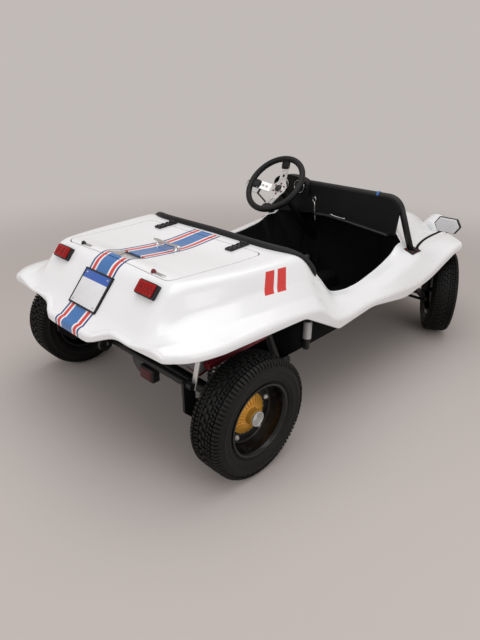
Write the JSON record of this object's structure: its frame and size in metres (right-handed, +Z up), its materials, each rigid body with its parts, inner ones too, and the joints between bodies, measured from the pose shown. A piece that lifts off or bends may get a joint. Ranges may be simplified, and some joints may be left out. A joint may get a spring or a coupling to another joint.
{
  "type": "dune buggy",
  "caption": "Open dune buggy with a white fibreglass body, flared fenders, rear engine lid, padded cockpit edge, dash hoop and turned front wheels.",
  "frame": {"origin": "on the ground under the centre of the overall box", "axes": "+X towards the nose, +Y to the left side, +Z up"},
  "size_m": [2.958, 1.762, 1.1794],
  "materials": {
    "white_body": "gloss",
    "black_metal": "satin",
    "black_plastic": "matte",
    "black_pad": "satin",
    "red_metal": "satin",
    "cast": "satin",
    "alloy": "satin",
    "chrome": "gloss",
    "gold": "satin",
    "tyre": "matte",
    "rim": "gloss",
    "red_lens": "gloss",
    "clear_lens": "gloss",
    "mirror": "gloss",
    "plate": "satin"
  },
  "bodies": {
    "chassis": {"body_shell": "white_body", "cockpit_roll": "black_pad", "cockpit_tub": "black_metal", "dash_hoop": "black_metal", "dash_panel": "black_plastic", "engine": "cast", "exhaust": "black_metal", "floor_tunnel": "black_metal", "fog_lamp": "red_lens", "front_arms": "black_metal", "front_beam": "black_metal", "front_bumper": "black_metal", "front_shocks": "black_metal", "front_tow_eye": "black_metal", "fuel_cap": "chrome", "gear_lever": "black_metal", "gearbox": "cast", "handbrake": "black_metal", "headlamp_bowls": "chrome", "headlamp_lenses": "clear_lens", "lid_hinge_leaves": "black_metal", "mirror_glasses": "mirror", "mirrors": "black_plastic", "number_plate": "plate", "pedals": "black_metal", "rear_axle": "black_metal", "rear_crossbar": "black_metal", "rear_frame": "red_metal", "rear_shocks": "alloy", "rear_tow_eye": "black_metal", "seats": "black_pad", "steering_column": "black_metal", "tail_lamp_housings": "black_plastic", "tail_lamp_lenses": "red_lens"},
    "wheel_front_left": {"drum_front_left": "gold", "rim_front_left": "rim", "tyre_front_left": "tyre"},
    "wheel_front_right": {"drum_front_right": "gold", "rim_front_right": "rim", "tyre_front_right": "tyre"},
    "wheel_rear_left": {"drum_rear_left": "gold", "rim_rear_left": "rim", "tyre_rear_left": "tyre"},
    "wheel_rear_right": {"drum_rear_right": "gold", "rim_rear_right": "rim", "tyre_rear_right": "tyre"},
    "lid": {"engine_lid": "white_body", "lid_handle": "chrome", "lid_hinge_straps": "black_metal", "lid_vent_plate": "alloy"},
    "knuckle_left_body": {"knuckle_left": "black_metal"},
    "knuckle_right_body": {"knuckle_right": "black_metal"},
    "steering_wheel": {"steering_rim": "black_pad", "steering_spokes": "alloy"},
    "tie_rod_body": {"tie_rod": "black_metal"}
  },
  "joints": [
    {"name": "steer_left", "type": "hinge", "parent": "chassis", "child": "knuckle_left_body", "pos_m": [1.029, 0.562, 0.29], "axis": [0, 0, 1], "range_deg": [-68, 2]},
    {"name": "steer_right", "type": "hinge", "parent": "chassis", "child": "knuckle_right_body", "pos_m": [1.029, -0.562, 0.29], "axis": [0, 0, 1], "range_deg": [-68, 2]},
    {"name": "steering_wheel_turn", "type": "hinge", "parent": "chassis", "child": "steering_wheel", "pos_m": [0.288, 0.3, 1.012], "axis": [-0.7349, 0, 0.6782], "range_deg": [-820, 26]},
    {"name": "tie_rod_shift", "type": "slide", "parent": "chassis", "child": "tie_rod_body", "axis": [0, 1, 0], "range_m": [-0.004, 0.124]},
    {"name": "spin_front_left", "type": "hinge", "parent": "knuckle_left_body", "child": "wheel_front_left", "pos_m": [0.98434, 0.63077, 0.29], "axis": [-0.5446, 0.8387, 0], "continuous": true},
    {"name": "spin_front_right", "type": "hinge", "parent": "knuckle_right_body", "child": "wheel_front_right", "pos_m": [1.07366, -0.63077, 0.29], "axis": [-0.5446, 0.8387, 0], "continuous": true},
    {"name": "spin_rear_left", "type": "hinge", "parent": "chassis", "child": "wheel_rear_left", "pos_m": [-1.029, 0.737, 0.29], "axis": [0, 1, 0], "continuous": true},
    {"name": "spin_rear_right", "type": "hinge", "parent": "chassis", "child": "wheel_rear_right", "pos_m": [-1.029, -0.737, 0.29], "axis": [0, 1, 0], "continuous": true},
    {"name": "lid_open", "type": "hinge", "parent": "chassis", "child": "lid", "pos_m": [-0.618, 0, 0.902], "axis": [0, 1, 0], "range_deg": [0, 65]}
  ],
  "couplings": [
    {"joint": "steer_right", "follows": "steer_left", "ratio": 1},
    {"joint": "steering_wheel_turn", "follows": "steer_left", "ratio": 12},
    {"joint": "tie_rod_shift", "follows": "steer_left", "m_per_rad": -0.10374}
  ]
}
